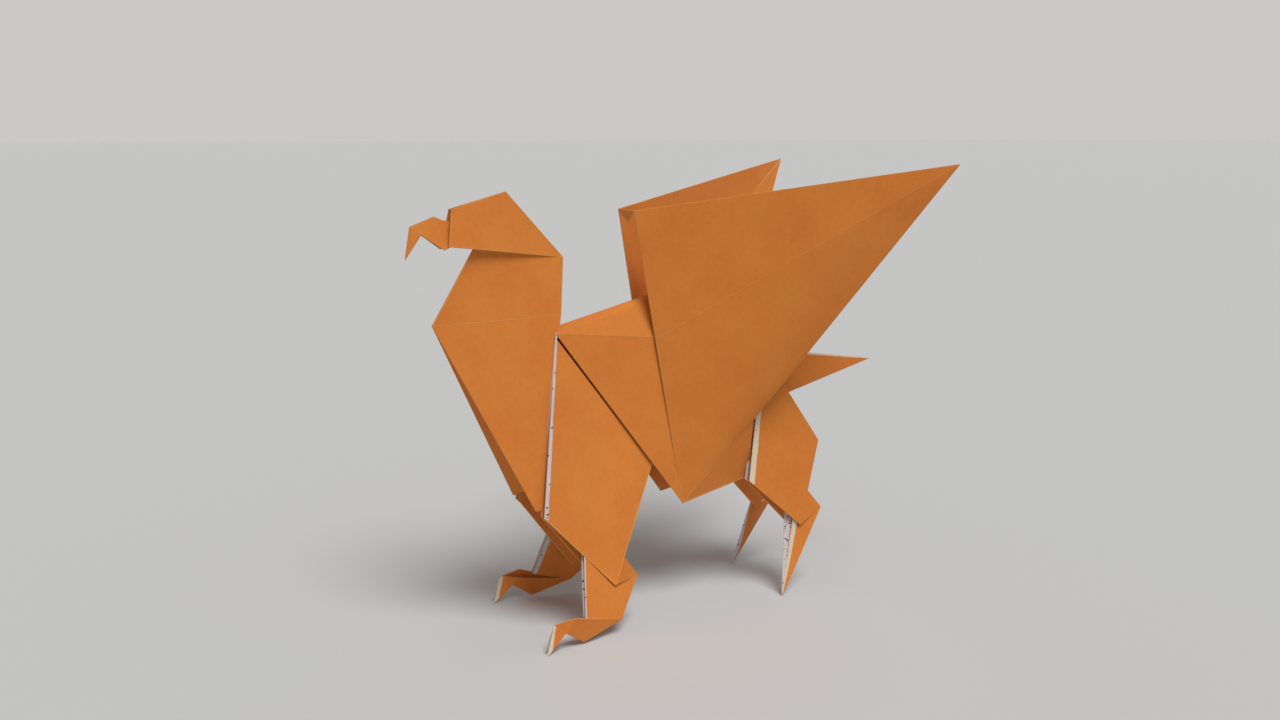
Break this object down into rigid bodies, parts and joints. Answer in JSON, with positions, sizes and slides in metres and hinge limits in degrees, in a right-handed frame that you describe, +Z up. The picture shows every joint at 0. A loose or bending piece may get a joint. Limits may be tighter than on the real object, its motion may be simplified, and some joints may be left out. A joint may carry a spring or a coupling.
{
  "type": "origami griffin",
  "caption": "Griffin folded from one sheet of thin paper, orange outside and white on the reverse, standing on its feet with raised wings, hooded head and hooked beak; a table ornament.",
  "frame": {"origin": "on the table, under the middle of the figure's length and width", "axes": "-X the way the figure faces, Y across it, +Z up; the figure mirrors itself across y = 0"},
  "size_m": [0.109, 0.064, 0.094],
  "materials": {
    "paper": "matte uncoated paper, dyed orange on the outside and white on the reverse"
  },
  "bodies": {
    "root": {"folded_sheet": "paper"}
  },
  "joints": []
}
